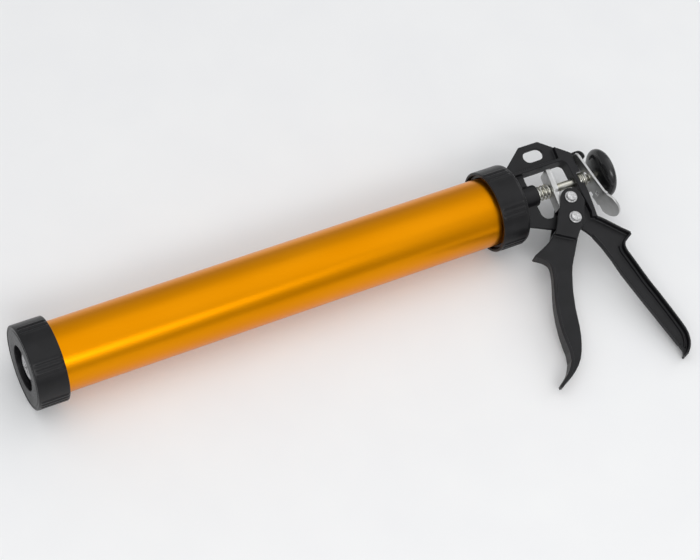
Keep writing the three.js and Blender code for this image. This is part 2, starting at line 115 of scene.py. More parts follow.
PISTON_PLATE_R, PISTON_NUT_R = 17.5, 6.4
KNOB_R, KNOB_SHOULDER, KNOB_NECK_R, KNOB_WALL, KNOB_INSERT_R = 18.5, 6.2, 3.3, 1.2, 6.0
KNOB_GROOVE_IN, KNOB_GROOVE_OUT, KNOB_GROOVE_DEPTH = 12.0, 14.2, 0.5
PUSHER = Vector((417.0, -12.9))
RIVET_R, RIVET_HEAD_R, RIVET_HEAD_T, RIVET_DISH = 3.2, 4.7, 1.9, 0.18
EAR_OUT, EAR_IN = 8.6, 5.5
ROLLER_R = 5.0
DRIVE_X, DRIVE_T, DRIVE_TILT, DRIVE_PLAY = 408.3, 4.2, math.radians(-5.5), 0.7
DRIVE_FOOT, DRIVE_STEP, DRIVE_TOP = -16.4, -2.6, 14.6
DRIVE_FOOT_HALF, DRIVE_HALF = 5.2, 6.6
LEVER_X, LEVER_T, LEVER_TILT, LEVER_PLAY = 439.6, 2.0, math.radians(9.3), 1.3
LEVER_TOP, LEVER_BEND, LEVER_HALF = 18.8, -17.0, 9.0
LEVER_SLOT = (-2.5, -15.6), (1.5, -12.4)                   # lower and upper corner, (z, y)
NOTCH_TOP, NOTCH_FOOT, NOTCH_Z = -8.6, -12, -6
THUMB_TIP, THUMB_HALF, THUMB_OFFSET, THUMB_TILT = -36.1, 11.0, -1.5, math.radians(23)
BEND_LENGTH, BEND_CUTS = 3.0, 8
SPRING_TURNS, CLOSED_TURNS = 4, 0.75                       # in all, and at each end
HANDLE_FRONT = [(443.1, -142.5), (442.6, -140), (438.8, -123), (433.7, -100.6), (428.9, -78),
                (427.1, -64.7), (424.7, -53), (422, -44.4)]
HANDLE_LIP, HANDLE_LIP_HALF = 1.1, 2.3
VOXEL, SMOOTHING, FACES_KEPT = 0.36, 5, 0.3                # how the edges of a casting are softened

# ---------------------------------------------------------------- camera and studio, metres
AIM = Vector((0.0081, 0.0396, 0.030))
AZIMUTH, ELEVATION, ROLL = math.radians(-38.03), math.radians(56.37), math.radians(14.19)
DISTANCE, LENS = 1.4598, 107.4
HORIZON, ZENITH = 0.42, 0.8          # brightness of the studio walls and ceiling
SKY_TINT = (0.97, 0.985, 1, 1)
FLOOR_HALF, FLOOR_DROP = 4, 0.0002


# ---------------------------------------------------------------- materials
class Finish:
    """A principled material with helpers for the noise that varies its colour, gloss and bump."""

    def __init__(self, name, metallic=0.0, **uniform):
        self.material = bpy.data.materials.new(name)
        self.material.use_nodes = True
        self.tree = self.material.node_tree
        self.shader = self.tree.nodes["Principled BSDF"]
        self.shader.inputs["Metallic"].default_value = metallic
        for socket, value in uniform.items():
            self.shader.inputs[socket.replace("_", " ")].default_value = value
        self.place = self.node("ShaderNodeTexCoord").outputs["Object"]
        self.normal = None

    def node(self, kind, inputs=(), **settings):
        made = self.tree.nodes.new(kind)
        for key, value in settings.items():
            setattr(made, key, value)
        for key, value in dict(inputs).items():
            if isinstance(value, bpy.types.NodeSocket):
                self.tree.links.new(value, made.inputs[key])
            else:
                made.inputs[key].default_value = value
        return made

    def noise(self, size, stretch=(1, 1, 1), detail=2.0):
        """Noise with features about size millimetres across, in 0 to 1."""
        mapped = self.node("ShaderNodeMapping", {"Vector": self.place, "Scale": stretch})
        made = self.node("ShaderNodeTexNoise", {
            "Vector": mapped.outputs["Vector"], "Scale": 1 / (size * MM), "Detail": detail})
        return made.outputs["Fac"]

    def radius(self):
        """Distance from the barrel axis, in millimetres."""
        centred = self.node("ShaderNodeVectorMath", {0: self.place, 1: tuple(AXIS)}, operation="SUBTRACT")
        flat = self.node("ShaderNodeVectorMath", {0: centred.outputs[0], 1: (0, 1, 1)}, operation="MULTIPLY")
        length = self.node("ShaderNodeVectorMath", {0: flat.outputs[0]}, operation="LENGTH")
        return self.math("DIVIDE", length.outputs["Value"], MM)

    def math(self, operation, first, second=0.0):
        made = self.node("ShaderNodeMath", {0: first, 1: second}, operation=operation)
        return made.outputs[0]

    def spread(self, value, low, high, start=0.3, end=0.7):
        made = self.node("ShaderNodeMapRange", {
            "Value": value, "From Min": start, "From Max": end, "To Min": low, "To Max": high})
        return made.outputs["Result"]

    def mix(self, factor, first, second):
        made = self.node("ShaderNodeMix", data_type="RGBA")
        for socket, value in ((made.inputs[6], first), (made.inputs[7], second)):
            if isinstance(value, bpy.types.NodeSocket):
                self.tree.links.new(value, socket)
            else:
                socket.default_value = (*value, 1)
        self.tree.links.new(factor, made.inputs[0])
        return made.outputs[2]

    def link(self, socket, value):
        self.tree.links.new(value, self.shader.inputs[socket])

    def bump(self, height, depth, strength=1.0):
        """Adds a bump that stands depth millimetres proud."""
        inputs = {"Height": height, "Distance": depth * MM, "Strength": strength}
        if self.normal:
            inputs["Normal"] = self.normal
        self.normal = self.node("ShaderNodeBump", inputs).outputs["Normal"]
        self.link("Normal", self.normal)

    def edges(self, start=0.52, end=0.6):
        """1 on outer edges of a finely divided mesh, 0 elsewhere; the mask for a painted highlight along
        edges.
        """
        pointiness = self.node("ShaderNodeNewGeometry").outputs["Pointiness"]
        return self.spread(pointiness, 0, 1, start, end)


def moulded_nylon(name="moulded_nylon", gloss=(0.30, 0.42)):
    f = Finish(name, Specular_IOR_Level=0.3)
    f.link("Base Color", f.mix(f.spread(f.noise(9), 0, 1), (0.0045, 0.0043, 0.005), (0.008, 0.0077, 0.0088)))
    f.link("Roughness", f.spread(f.noise(1.6, detail=4), *gloss))
    f.bump(f.noise(0.22), 0.006)
    f.bump(f.noise(3.5), 0.02)
    return f.material


def anodised_tube():
    f = Finish("anodised_tube", metallic=1.0, Anisotropic=0.35)
    drawn = f.noise(0.5, stretch=(0.01, 1, 1), detail=3)
    cloud = f.noise(40, stretch=(0.4, 1, 1))
    f.link("Base Color", f.mix(f.spread(cloud, 0, 1), (0.78, 0.272, 0.0), (0.84, 0.305, 0.002)))
    f.link("Roughness", f.spread(drawn, 0.30, 0.37))
    f.bump(drawn, 0.003)
    f.bump(f.noise(0.12), 0.0015)
    return f.material


def powder_coat():
    f = Finish("powder_coat", Specular_IOR_Level=0.3)
    base = f.mix(f.spread(f.noise(12), 0, 1), (0.005, 0.0048, 0.0056), (0.0085, 0.0082, 0.0096))
    # painted highlight: outer edges are painted a lighter grey, standing in for the light they catch
    f.link("Base Color", f.mix(f.edges(), base, (0.020, 0.0195, 0.022)))
    f.link("Roughness", f.spread(f.noise(0.9, detail=4), 0.33, 0.46))
    f.bump(f.noise(0.7), 0.012)
    f.bump(f.noise(0.2), 0.004)
    return f.material


def zinc(name="zinc_plating", pale=(0.66, 0.66, 0.64), warm=(0.60, 0.575, 0.46), gloss=(0.24, 0.42)):
    f = Finish(name, metallic=1.0)
    f.link("Base Color", f.mix(f.spread(f.noise(6, detail=3), 0, 1), pale, warm))
    f.link("Roughness", f.spread(f.noise(1.1, detail=5), *gloss))
    f.bump(f.noise(0.5, stretch=(1, 0.12, 1), detail=4), 0.008)
    f.bump(f.noise(0.16), 0.003)
    return f.material


def hammered_steel():
    f = Finish("hammered_steel", metallic=1.0)
    patches = f.spread(f.noise(1.4, detail=3), 0, 1)
    f.link("Base Color", f.mix(patches, (0.70, 0.70, 0.71), (0.42, 0.415, 0.41)))
    f.link("Roughness", f.spread(f.noise(0.8, detail=4), 0.26, 0.46))
    f.bump(f.noise(1.5), 0.07)
    f.bump(f.noise(0.3), 0.01)
    return f.material


def turned_gloss(name, dark, light, roughness, pitch, depth, metallic=0.0):
    """A smooth finish with fine rings round the barrel axis, as a lathe or a mould leaves."""
    f = Finish(name, metallic=metallic, Specular_IOR_Level=0.6)
    f.link("Base Color", f.mix(f.spread(f.noise(5), 0, 1), dark, light))
    f.link("Roughness", f.spread(f.noise(2.2, detail=4), *roughness))
    rings = f.math("SINE", f.math("MULTIPLY", f.radius(), 2 * math.pi / pitch))
    f.bump(rings, depth)
    f.bump(f.noise(0.3), 0.002)
    return f.material


MATERIALS = {
    "nylon": moulded_nylon(),
    "glossy_nylon": moulded_nylon("glossy_nylon", gloss=(0.12, 0.2)),
    "tube": anodised_tube(),
    "paint": powder_coat(),
    "zinc": zinc(),
    "lever_zinc": zinc("lever_zinc", (0.60, 0.60, 0.60), (0.50, 0.50, 0.49), (0.3, 0.46)),
    "rivet": hammered_steel(),
    "knob": turned_gloss("knob_gloss", (0.004, 0.004, 0.0045), (0.007, 0.007, 0.0075),
                         roughness=(0.16, 0.26), pitch=0.9, depth=0.003),
    "piston": turned_gloss("piston_nylon", (0.05, 0.05, 0.053), (0.075, 0.075, 0.08),
                           roughness=(0.4, 0.55), pitch=0.8, depth=0.008),
    "brass": turned_gloss("turned_brass", (0.55, 0.37, 0.12), (0.64, 0.46, 0.18),
                          roughness=(0.25, 0.4), pitch=0.4, depth=0.01, metallic=1.0),
    "end_plate": turned_gloss("turned_zinc", (0.58, 0.58, 0.55), (0.68, 0.68, 0.66),
                              roughness=(0.26, 0.4), pitch=0.5, depth=0.01, metallic=1.0),
}


# ---------------------------------------------------------------- shape helpers, all in mm
def oval(centre, across, up, start, end, steps):
    """Points on part of an oval, angles in degrees."""
    angles = [math.radians(start + (end - start) * i / steps) for i in range(steps + 1)]
    return [(centre[0] + across * math.cos(a), centre[1] + up * math.sin(a)) for a in angles]


def arc(centre, radius, start, end, steps):
    """Points on part of a circle, angles in degrees."""
    return oval(centre, radius, radius, start, end, steps)


def filleted(corners, steps=4):
    """A closed outline from (x, y, fillet radius) corners; a corner with no radius stays sharp."""
    points = []
    for i, (x, y, *radius) in enumerate(corners):
        if not radius:
            points.append((x, y))
            continue
        corner = Vector((x, y))
        back = (Vector(corners[i - 1][:2]) - corner).normalized()
        on = (Vector(corners[(i + 1) % len(corners)][:2]) - corner).normalized()
        half = back.angle(on) / 2
        centre = corner + (back + on).normalized() * radius[0] / math.sin(half)
        start = corner + back * radius[0] / math.tan(half) - centre
        end = corner + on * radius[0] / math.tan(half) - centre
        turn = start.angle_signed(end)
        for step in range(steps + 1):
            spoke = start.copy()
            spoke.rotate(Matrix.Rotation(-turn * step / steps, 2))
            points.append(tuple(centre + spoke))
    return points


def lathe(profile, segments=128, shape=None):
    """A body turned about the barrel axis from a closed (x, radius) outline. shape(x, radius, angle)
    may change the radius; the angle goes from +Z towards +Y."""
    bm = bmesh.new()
    rings = []
    for x, radius in profile:
        if radius < 1e-6:
            rings.append([bm.verts.new((x, 0, 0))])
            continue
        ring = []
        for i in range(segments):
            angle = 2 * math.pi * i / segments
            r = shape(x, radius, angle) if shape else radius
            ring.append(bm.verts.new((x, r * math.sin(angle), r * math.cos(angle))))
        rings.append(ring)
    for ring, after in zip(rings, rings[1:] + rings[:1]):
        if len(ring) == 1 and len(after) == 1:
            continue
        for i in range(segments):
            j = (i + 1) % segments
            corners = [ring[i % len(ring)], ring[j % len(ring)], after[j % len(after)], after[i % len(after)]]
            bm.faces.new(list(dict.fromkeys(corners)))
    return bm


def pin_across(bm, at):
    """Turns a lathed body so that its axis runs across the gun through a point."""
    turn = Matrix(((0, 1, 0), (0, 0, 1), (1, 0, 0))).to_4x4()
    bm.transform(Matrix.Translation((at[0], at[1], 0)) @ turn)
    return bm


def from_curve(curve):
    """The mesh of a curve as a bmesh, with shared vertices merged."""
    obj = bpy.data.objects.new("outline", curve)
    bpy.context.scene.collection.objects.link(obj)
    evaluated = obj.evaluated_get(bpy.context.evaluated_depsgraph_get())
    mesh = bpy.data.meshes.new_from_object(evaluated)
    bm = bmesh.new()
    bm.from_mesh(mesh)
    bmesh.ops.remove_doubles(bm, verts=bm.verts, dist=1e-4)
    bpy.data.objects.remove(obj)
    bpy.data.meshes.remove(mesh)
    bpy.data.curves.remove(curve)
    return bm


def add_spline(curve, points, cyclic):
    spline = curve.splines.new("POLY")
    spline.points.add(len(points) - 1)
    for target, point in zip(spline.points, points):
        target.co = (*point, *[0] * (3 - len(point)), 1)
    spline.use_cyclic_u = cyclic


def plate(outline, thickness, holes=(), edge=0.3):
    """A flat plate in the XY plane with its middle at Z 0 and rounded edges."""
    curve = bpy.data.curves.new("plate", "CURVE")
    curve.dimensions = "2D"
    curve.fill_mode = "BOTH"
    curve.extrude = thickness / 2 - edge
    curve.bevel_depth = edge
    curve.bevel_resolution = 2
    curve.offset = -edge
    for ring in (outline, *holes):
        add_spline(curve, ring, True)
    return from_curve(curve)


def round_hole(radius, centre=(0, 0)):
    return arc(centre, radius, 0, 350, 35)


def hex_nut(radius, hole_radius, thickness, fillet):
    """A hexagon nut lying in the XY plane."""
    outline = filleted([(*corner, fillet) for corner in arc((0, 0), radius, 0, 300, 5)])
    return plate(outline, thickness, [round_hole(hole_radius)], 0.4)


def upright(bm, x, tilt=0.0):
    """Stands a plate drawn as (z, y) across the barrel axis, leaning by tilt about the gun's Z."""
    stand = Matrix(((0, 0, 1), (0, 1, 0), (1, 0, 0))).to_4x4()
    bm.transform(Matrix.Translation((x, 0, 0)) @ Matrix.Rotation(tilt, 4, "Z") @ stand)
    return bm


def wire(points, thickness):
    """Round wire along a line of points, with closed ends."""
    curve = bpy.data.curves.new("wire", "CURVE")
    curve.dimensions = "3D"
    curve.bevel_depth = thickness / 2
    curve.bevel_resolution = 3
    curve.use_fill_caps = True
    add_spline(curve, points, False)
    return from_curve(curve)


def thread(start, end, depth, phase=0.0):
    """A shape function that cuts a helical thread between two places along the barrel."""
    def radius_at(x, radius, angle):
        fade = min(1, max(0, x - start), max(0, end - x))
        turn = (x / THREAD_PITCH - angle / (2 * math.pi) + phase) % 1
        return radius + depth * fade * (1 - abs(2 * turn - 1))
    return radius_at


def piece(name, bm, body, material, nodes=(), sharp=35):
    """Puts a mesh drawn in the gun's millimetres into the scene, riding on its body."""
    bmesh.ops.recalc_face_normals(bm, faces=bm.faces)
    mesh = bpy.data.meshes.new(name)
    bm.to_mesh(mesh)
    bm.free()
    mesh.transform(GUN)
    mesh.shade_smooth()
    mesh.set_sharp_from_angle(angle=math.radians(sharp))
    mesh.materials.append(MATERIALS[material])
    obj = bpy.data.objects.new(name, mesh)
    bpy.context.scene.collection.objects.link(obj)
    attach(obj, body)
    if nodes:
        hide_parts(*nodes)
    return obj


# ---------------------------------------------------------------- barrel and caps
def rib_shape(start, end, phase):
    """A shape function that raises the grip ribs on the outside of a cap."""
    def radius_at(x, radius, angle):
        if radius < CAP_R - TINY:
            return radius
        along = min(1, max(0, (x - start) / RIB_FADE), max(0, (end - x) / RIB_FADE))
        half_step = math.pi / RIB_GROUPS
        near = (angle - phase + half_step) % (2 * half_step) - half_step
        rib = min(range(RIBS), key=lambda i: abs(near - (i - (RIBS - 1) / 2) * RIB_STEP))
        away = abs(near - (rib - (RIBS - 1) / 2) * RIB_STEP) / RIB_HALF
        return radius + RIB_HEIGHT * along * math.sqrt(max(0, 1 - away ** 4))
    return radius_at


def line(x0, x1, radius, steps):
    """Evenly spaced points between two places at one radius."""
    return [(x0 + (x1 - x0) * i / steps, radius) for i in range(steps + 1)]


def make_barrel():
    x0, x1 = span("barrel")
    front = thread(x0, x0 + FRONT_THREAD, -THREAD_DEPTH)
    back = thread(x1 - REAR_THREAD, x1, -THREAD_DEPTH)

    def shape(x, radius, angle):
        if radius < BARREL_R - TINY:
            return radius
        return front(x, radius, angle) if x < x0 + FRONT_THREAD else back(x, radius, angle)

    outside = line(x0 + BARREL_CHAMFER, x0 + FRONT_THREAD + 1, BARREL_R, 64)
    outside += line(x0 + PLAIN_MARGIN, x1 - PLAIN_MARGIN, BARREL_R, 6)
    outside += line(x1 - REAR_THREAD - 1, x1 - BARREL_CHAMFER, BARREL_R, 60)
    profile = [(x0, BORE_R + BORE_CHAMFER), (x0, BARREL_R - BARREL_CHAMFER), *outside,
               (x1, BARREL_R - BARREL_CHAMFER), (x1, BORE_R + BORE_CHAMFER),
               (x1 - BORE_CHAMFER, BORE_R), (x0 + BORE_CHAMFER, BORE_R)]
    piece("barrel_tube", lathe(profile, 160, shape), "barrel_body", "tube", ["barrel"])


def make_front_cap():
    x0, x1 = span("front_cap")
    ribs = rib_shape(x0 + 1.6, x1 - 0.9, FRONT_RIB_PHASE)
    grooves = thread(x0 + CAP_WALL + 1, x1 - 1, CAP_THREAD_DEPTH)

    def shape(x, radius, angle):
        if abs(radius - CAP_BORE_R) < TINY:
            return grooves(x, radius, angle)
        return ribs(x, radius, angle)

    groove_x = x0 + GROOVE_DEPTH
    face = filleted([(x0 + 1.1, NOZZLE_R), (x0, NOZZLE_R, 0.5), (x0, GROOVE_IN, 0.12),
                     (groove_x, GROOVE_IN + 0.4, 0.12), (groove_x, GROOVE_OUT - 0.3, 0.12),
                     (x0, GROOVE_OUT, 0.12), (x0, CAP_R, 0.9), (x0 + 1.2, CAP_R)])
    side = line(x0 + 1.4, x1 - 0.7, CAP_R, 24)
    back = filleted([(x1 - 1, CAP_R - 0.01), (x1, CAP_R - 0.01, 0.5), (x1, CAP_BORE_R + 0.4, 0.3),
                     (x1 - 0.6, CAP_BORE_R + 0.2)])[1:-1]
    bore = line(x1 - 0.8, x0 + CAP_WALL + 0.4, CAP_BORE_R, 64)
    inside = [(x0 + CAP_WALL, CAP_BORE_R - 0.4), (x0 + CAP_WALL, NOZZLE_R + 0.3),
              (x0 + CAP_WALL - 0.3, NOZZLE_R)]
    bm = lathe([*face, *side, *back, *bore, *inside], 360, shape)
    piece("front_cap_shell", bm, "front_cap_body", "nylon", ["front_cap"])


def make_rear_cap():
    x0, x1 = span("rear_cap")
    plate_x = span("end_plate")
    ribs = rib_shape(x0 + 0.9, x1 - 2.9, REAR_RIB_PHASE)
    mouth = filleted([(x0 + MOUTH_DEPTH, CAP_BORE_R + 0.2), (x0 + MOUTH_DEPTH, MOUTH_R - 0.3, 0.9),
                      (x0, MOUTH_R + 0.5, 0.4), (x0, CAP_R - 0.01, 0.6), (x0 + 1.0, CAP_R - 0.01)], 6)
    side = line(x0 + 1.2, x1 - 2.8, CAP_R, 24)
    seat_x, seat_r = plate_x[0] - 0.3, PLATE_R + PLATE_PLAY
    back = filleted([(x1 - 3, CAP_R - 0.02), (x1 - 0.4, CAP_R - 0.6, 1.6), (x1, CAP_R - 2.5, 0.8),
                     (x1, LIP_R, 0.5), (x1 - LIP_T, LIP_R, 0.2), (x1 - LIP_T, seat_r), (seat_x, seat_r),
                     (seat_x, CAP_BORE_R), (x0 + MOUTH_DEPTH + 0.3, CAP_BORE_R)])
    bm = lathe([*mouth, *side, *back], 360, ribs)
    cap = piece("rear_cap_shell", bm, "barrel_body", "nylon", ["rear_cap"])
    cap.data.materials.append(MATERIALS["glossy_nylon"])
    for face in cap.data.polygons:
        at = TO_GUN @ face.center
        if at.x < x0 + MOUTH_DEPTH + 0.2 and math.hypot(at.y, at.z) < MOUTH_R + 0.2:
            face.material_index = 1


def make_end_plate():
    x0, x1 = span("end_plate")
    profile = filleted([(x0, SPIGOT_R, 0.2), (x0, PLATE_R, 0.3), (x1, PLATE_R, 0.4), (x1, SPIGOT_R, 0.2)])
    piece("end_plate_disc", lathe(profile), "frame_body", "end_plate", ["end_plate"])
    x0, x1 = span("end_plate_nut")
    nut = hex_nut(SPIGOT_NUT_R, SPIGOT_R, x1 - x0, 0.8)
    piece("spigot_nut", upright(nut, (x0 + x1) / 2), "frame_body", "zinc", ["end_plate_nut"])


# ---------------------------------------------------------------- castings
def casting(name, node, body, extras=()):
    """A cast piece with soft edges and fillets, from its CAD solid and any extra details."""
    bm = bmesh.new()
    bm.from_mesh(frame["nodes"][node].data)
    bmesh.ops.remove_doubles(bm, verts=bm.verts, dist=1e-6)
    bm.transform(TO_GUN)
    for extra in extras:
        other = bpy.data.meshes.new("extra")
        extra.to_mesh(other)
        extra.free()
        bm.from_mesh(other)
        bpy.data.meshes.remove(other)
    mesh = bpy.data.meshes.new("solid")
    bm.to_mesh(mesh)
    bm.free()
    obj = bpy.data.objects.new("solid", mesh)
    bpy.context.scene.collection.objects.link(obj)
    remesh = obj.modifiers.new("voxels", "REMESH")
    remesh.mode = "VOXEL"
    remesh.voxel_size = VOXEL
    smooth = obj.modifiers.new("fillets", "SMOOTH")
    smooth.factor = 0.5
    smooth.iterations = SMOOTHING
    thin = obj.modifiers.new("thin", "DECIMATE")
    thin.ratio = FACES_KEPT
    evaluated = obj.evaluated_get(bpy.context.evaluated_depsgraph_get())
    result = bpy.data.meshes.new_from_object(evaluated)
    bm = bmesh.new()
    bm.from_mesh(result)
    bpy.data.objects.remove(obj)
    bpy.data.meshes.remove(result)
    bpy.data.meshes.remove(mesh)
    return piece(name, bm, body, "paint", [node], sharp=60)


def strip(points, width, z):
    """A bar along a line of points, width to its right and z thick each way."""
    bm = bmesh.new()
    left = [Vector(p) for p in points]
    right = []
    for i, p in enumerate(left):
        along = (left[min(i + 1, len(left) - 1)] - left[max(i - 1, 0)]).normalized()
        right.append(p + Vector((along.y, -along.x)) * width)
    ring = [*left, *reversed(right)]
    low = [bm.verts.new((*p, -z)) for p in ring]
    high = [bm.verts.new((*p, z)) for p in ring]
    bm.faces.new(low)
    bm.faces.new(high)
    for i in range(len(ring)):
        j = (i + 1) % len(ring)
        bm.faces.new((low[i], low[j], high[j], high[i]))
    bmesh.ops.recalc_face_normals(bm, faces=bm.faces)
    return bm


def make_castings():
    lip = strip([(x + 0.1, y) for x, y in HANDLE_FRONT], HANDLE_LIP, HANDLE_LIP_HALF)
    casting("frame_casting", "frame", "frame_body", [lip])
    casting("trigger_casting", "trigger", "trigger_body")


# ---------------------------------------------------------------- rivets and roller
def rivet(at):
    """A rivet across the trigger's ears, with a low head on each side, dished in the middle."""
    end = EAR_OUT + RIVET_HEAD_T
    half = filleted([(EAR_OUT, RIVET_R), (EAR_OUT, RIVET_HEAD_R, 0.25),
                     (end - 0.15, RIVET_HEAD_R - 0.1, 0.7)])
    crown = [(end, RIVET_HEAD_R - 1.5), (end + 0.05, 2.4), (end - 0.12, 1.7), (end - RIVET_DISH, 0.8),
             (end - RIVET_DISH, 0)]
    side = [*half, *crown]
    return pin_across(lathe([(-x, r) for x, r in reversed(side)] + side, 48), at)


def make_rivets():
    pins = (("pivot_rivet_pin", "pivot_rivet", PIVOT), ("pusher_rivet_pin", "pusher_rivet", PUSHER))
    for name, node, at in pins:
        piece(name, rivet(at), "trigger_body", "rivet", [node])
    profile = filleted([(-EAR_IN, RIVET_R + PLAY, 0.2), (-EAR_IN, ROLLER_R, 0.4), (EAR_IN, ROLLER_R, 0.4),
                        (EAR_IN, RIVET_R + PLAY, 0.2)])
    sleeve = pin_across(lathe(profile, 48), PUSHER)
    piece("pusher_roller_sleeve", sleeve, "trigger_body", "zinc", ["pusher_roller"])


# ---------------------------------------------------------------- drive plate, lever and springs
def make_drive_plate():
    side = [(DRIVE_FOOT_HALF, DRIVE_FOOT, 0.6), (DRIVE_FOOT_HALF, DRIVE_STEP - 1.8, 0.8),
            (DRIVE_HALF, DRIVE_STEP, 0.8), (DRIVE_HALF, DRIVE_TOP, 1.6)]
    outline = filleted([*side, *[(-z, y, r) for z, y, r in reversed(side)]])
    bm = plate(outline, DRIVE_T, [round_hole(ROD_R + DRIVE_PLAY)], 0.35)
    bm.transform(Matrix.Translation((0, 0, DRIVE_T / 2)))
    upright(bm, DRIVE_X, DRIVE_TILT)
    piece("drive_plate_blank", bm, "drive_plate_body", "lever_zinc", ["drive_plate"])


def make_release_lever():
    """A pressed plate: slotted above, bent back at the thumb tab, with a half-round end."""
    tip = arc((THUMB_OFFSET, THUMB_TIP + THUMB_HALF), THUMB_HALF, 180, 360, 24)
    near, far = THUMB_OFFSET + THUMB_HALF, THUMB_OFFSET - THUMB_HALF
    outline = filleted([
        (near, LEVER_BEND - 3.5, 1), (LEVER_HALF, LEVER_BEND, 1), (LEVER_HALF, LEVER_TOP, 3.2),
        (-LEVER_HALF, LEVER_TOP, 3.2), (-LEVER_HALF, NOTCH_TOP, 0.5), (NOTCH_Z, NOTCH_TOP, 0.5),
        (NOTCH_Z, NOTCH_FOOT, 0.5), (-LEVER_HALF, NOTCH_FOOT, 0.5), (-LEVER_HALF, LEVER_BEND, 1.5),
        (far, LEVER_BEND - 3.5, 1.5)])
    (z0, y0), (z1, y1) = LEVER_SLOT
    slot = filleted([(z0, y0, 0.4), (z0, y1, 0.4), (z1, y1, 0.4), (z1, y0, 0.4)])
    bm = plate([*outline, *tip], LEVER_T, [round_hole(ROD_R + LEVER_PLAY, (0, 0.4)), slot], 0.4)
    bm.transform(Matrix.Translation((0, 0, LEVER_T / 2)))
    start = LEVER_BEND + BEND_LENGTH / 2
    for i in range(BEND_CUTS + 1):
        cut = start - BEND_LENGTH * i / BEND_CUTS
        everything = [*bm.verts, *bm.edges, *bm.faces]
        bmesh.ops.bisect_plane(bm, geom=everything, plane_co=(0, cut, 0), plane_no=(0, 1, 0))
    bend = THUMB_TILT - LEVER_TILT
    radius = BEND_LENGTH / bend
    for v in bm.verts:
        below = start - v.co.y
        if below <= 0:
            continue
        turn = bend * min(below / BEND_LENGTH, 1)
        rest = max(below - BEND_LENGTH, 0)
        depth = v.co.z
        v.co.y = start - (radius - depth) * math.sin(turn) - rest * math.cos(turn)
        v.co.z = radius - (radius - depth) * math.cos(turn) + rest * math.sin(turn)
    upright(bm, LEVER_X, LEVER_TILT)
    piece("release_lever_pressing", bm, "release_body", "lever_zinc", ["release_lever"])


def coil(x0, x1, radius, thickness, turns):
    """A compression spring of round wire with its end turns closed."""
    length = x1 - x0 - thickness
    open_pitch = (length - 2 * CLOSED_TURNS * thickness) / (turns - 2 * CLOSED_TURNS)
    steps = round(40 * turns)
    points = []
    for i in range(steps + 1):
        turn = turns * i / steps
        start, end = min(turn, CLOSED_TURNS), max(turn - turns + CLOSED_TURNS, 0)
        x = x0 + thickness / 2 + thickness * (start + end) + open_pitch * (turn - start - end)
        angle = 2 * math.pi * turn
        points.append((x, radius * math.cos(angle), radius * math.sin(angle)))
    return wire(points, thickness)


def make_springs():
    """Both springs stand on the frame as coils along the length of their CAD pieces."""
    for name, node, radius, thickness, joint, keep in (
            ("return_spring_coil", "return_spring", 5.0, 1.2, "drive_plate_feed", 0.5),
            ("release_spring_coil", "release_spring", 4.9, 1.1, "release_press", 0.7)):
        low, high = span(node)
        bm = coil(low, high, radius, thickness, SPRING_TURNS)
        obj = piece(name, bm, "frame_body", "zinc", [node])
        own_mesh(obj)


# ---------------------------------------------------------------- rod, knob and piston
def make_rod():
    x0, x1 = span("thrust_rod")
    profile = filleted([(x0 + ROD_TAPPING, 0), (x0 + ROD_TAPPING, SCREW_HOLE_R), (x0, SCREW_HOLE_R, 0.2),
                        (x0, ROD_R, 0.4), (x1, ROD_R, 0.9), (x1, 0)])
    piece("thrust_rod_bar", lathe(profile, 64), "rod_body", "zinc", ["thrust_rod"])


def make_knob():
    x0, x1 = span("knob")
    insert_end = span("knob_insert")[1] + 0.4
    bore = KNOB_INSERT_R + PLAY
    widest, back = x0 + KNOB_SHOULDER, x1 - x0 - KNOB_SHOULDER
    dome = oval((widest, KNOB_NECK_R), KNOB_SHOULDER, KNOB_R - KNOB_NECK_R, 180, 90, 24)
    rim = oval((widest, KNOB_R - back), back, back, 86, 0, 14)
    groove_x = x1 - KNOB_GROOVE_DEPTH
    centre = filleted([(x1, KNOB_R - back), (x1, KNOB_GROOVE_OUT, 0.3),
                       (groove_x, KNOB_GROOVE_OUT - 0.5, 0.2), (groove_x, KNOB_GROOVE_IN + 0.6, 0.2),
                       (x1, KNOB_GROOVE_IN, 0.4), (x1, 0)])[1:]
    inside = [(insert_end, 0), (insert_end, bore), (x0 + KNOB_WALL, bore), (x0 + KNOB_WALL, ROD_R + PLAY),
              (x0, ROD_R + PLAY)]
    profile = [*inside, *dome, *rim, *centre]
    piece("knob_bell", lathe(profile, 128), "rod_body", "knob", ["knob"], sharp=50)
    x0, x1 = span("knob_insert")
    profile = filleted([(x0, ROD_R + PLAY, 0.2), (x0, KNOB_INSERT_R, 0.3), (x1, KNOB_INSERT_R, 0.3),
                        (x1, ROD_R + PLAY, 0.2)])
    piece("knob_insert_bush", lathe(profile, 64), "rod_body", "brass", ["knob_insert"])


def make_piston():
    x0, x1 = span("piston_disc")
    web = x0 + PISTON_WEB
    profile = filleted([(x0, SCREW_HOLE_R, 0.2), (x0, PISTON_R, 1.0), (x1, PISTON_R, 0.4),
                        (x1, PISTON_RIM_R, 0.4), (web, PISTON_HUB_R, 0.6), (web, SCREW_HOLE_R, 0.2)])
    piece("piston_disc_moulding", lathe(profile), "rod_body", "piston", ["piston_disc"])
    x0, x1 = span("piston_plate")
    profile = filleted([(x0, SCREW_HOLE_R, 0.2), (x0, PISTON_PLATE_R, 0.4), (x1, PISTON_PLATE_R, 0.4),
                        (x1, SCREW_HOLE_R, 0.2)])
    piece("piston_backing_plate", lathe(profile), "rod_body", "end_plate", ["piston_plate"])
    x0, x1 = span("piston_nut")
    nut = hex_nut(PISTON_NUT_R, SCREW_HOLE_R, x1 - x0, 0.6)
    piece("piston_lock_nut", upright(nut, (x0 + x1) / 2), "rod_body", "zinc", ["piston_nut"])


